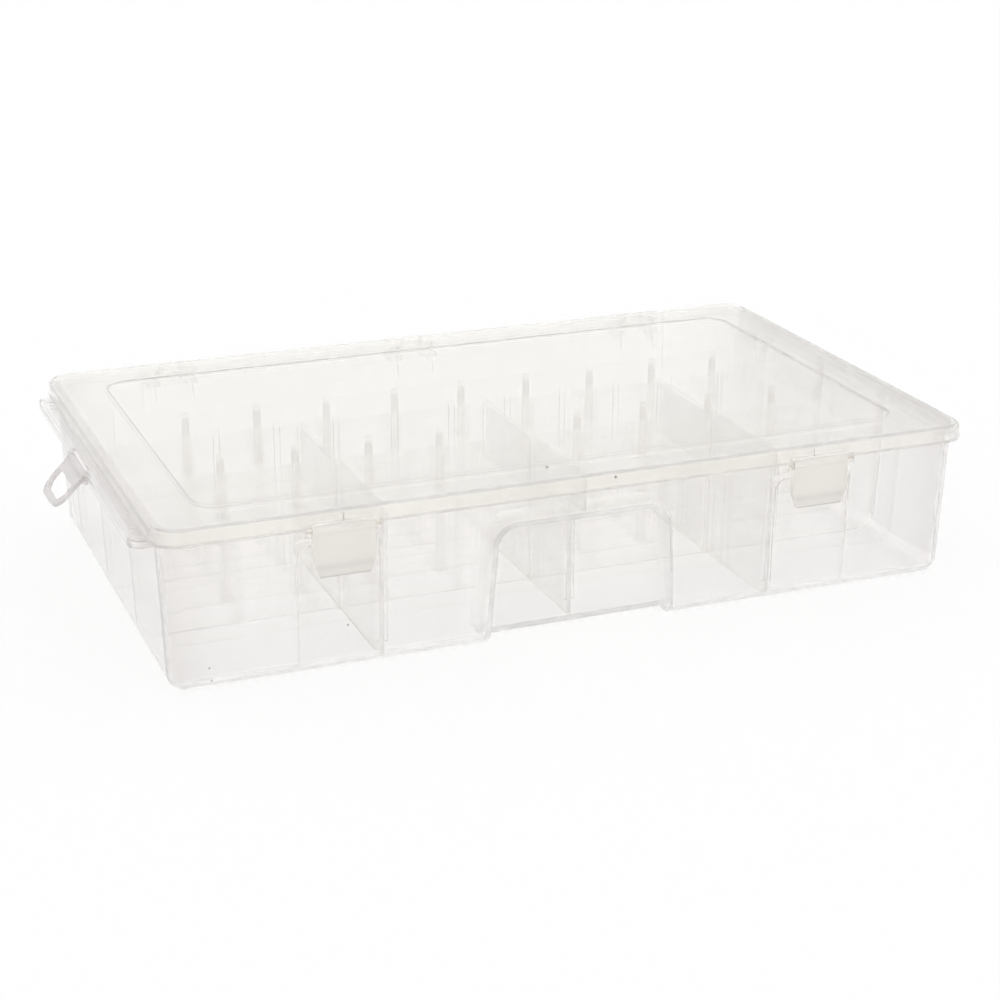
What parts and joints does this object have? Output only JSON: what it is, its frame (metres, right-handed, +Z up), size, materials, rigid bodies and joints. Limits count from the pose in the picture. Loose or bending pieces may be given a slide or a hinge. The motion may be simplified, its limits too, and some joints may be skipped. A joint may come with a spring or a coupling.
{
  "type": "embroidery thread box",
  "caption": "Shallow clear storage box with a hinged latched lid, long partitions, cross dividers, upright spool pegs, a front hand grip and an end hanging loop.",
  "frame": {"origin": "centre of the tray's flat underside", "axes": "+X to the right along the front, +Y to the hinges at the rear, +Z up through the lid"},
  "size_m": [0.4265, 0.2508, 0.079],
  "materials": {
    "tray": "clear natural polypropylene, lightly frosted",
    "lid": "clear natural polypropylene, glossy",
    "partitions": "clear natural polypropylene",
    "dividers": "clear natural polypropylene",
    "pegs": "clear natural polypropylene",
    "latches": "clear natural polypropylene, thicker",
    "loop": "clear natural polypropylene, thicker",
    "pins": "clear natural polypropylene"
  },
  "bodies": {
    "tray": {"tray": "tray", "hinge_pin_1": "pins", "hinge_pin_2": "pins", "hinge_pin_3": "pins", "front_partition": "partitions", "middle_partition": "partitions", "rear_partition": "partitions", "front_divider_1": "dividers", "front_divider_2": "dividers", "front_divider_3": "dividers", "middle_divider_1": "dividers", "middle_divider_2": "dividers", "middle_divider_3": "dividers", "front_peg_1": "pegs", "front_peg_2": "pegs", "front_peg_3": "pegs", "front_peg_4": "pegs", "front_peg_5": "pegs", "front_peg_6": "pegs", "front_peg_7": "pegs", "front_peg_8": "pegs", "rear_peg_1": "pegs", "rear_peg_2": "pegs", "rear_peg_3": "pegs", "rear_peg_4": "pegs", "rear_peg_5": "pegs", "rear_peg_6": "pegs", "rear_peg_7": "pegs", "rear_peg_8": "pegs", "rear_peg_9": "pegs"},
    "lid": {"lid": "lid"},
    "latch_left": {"latch_left": "latches"},
    "latch_right": {"latch_right": "latches"},
    "end_loop": {"end_loop": "loop"}
  },
  "joints": [
    {"name": "lid_hinge", "type": "hinge", "parent": "tray", "child": "lid", "pos_m": [0, 0.1242, 0.0695], "axis": [-1, 0, 0], "range_deg": [0, 180]},
    {"name": "latch_left_hinge", "type": "hinge", "parent": "lid", "child": "latch_left", "pos_m": [-0.117, -0.1208, 0.071], "axis": [-1, 0, 0], "range_deg": [0, 100]},
    {"name": "latch_right_hinge", "type": "hinge", "parent": "lid", "child": "latch_right", "pos_m": [0.117, -0.1208, 0.071], "axis": [-1, 0, 0], "range_deg": [0, 100]},
    {"name": "end_loop_hinge", "type": "hinge", "parent": "tray", "child": "end_loop", "pos_m": [-0.2052, 0.0095, 0.0662], "axis": [0, 1, 0], "range_deg": [-45, 45]}
  ]
}
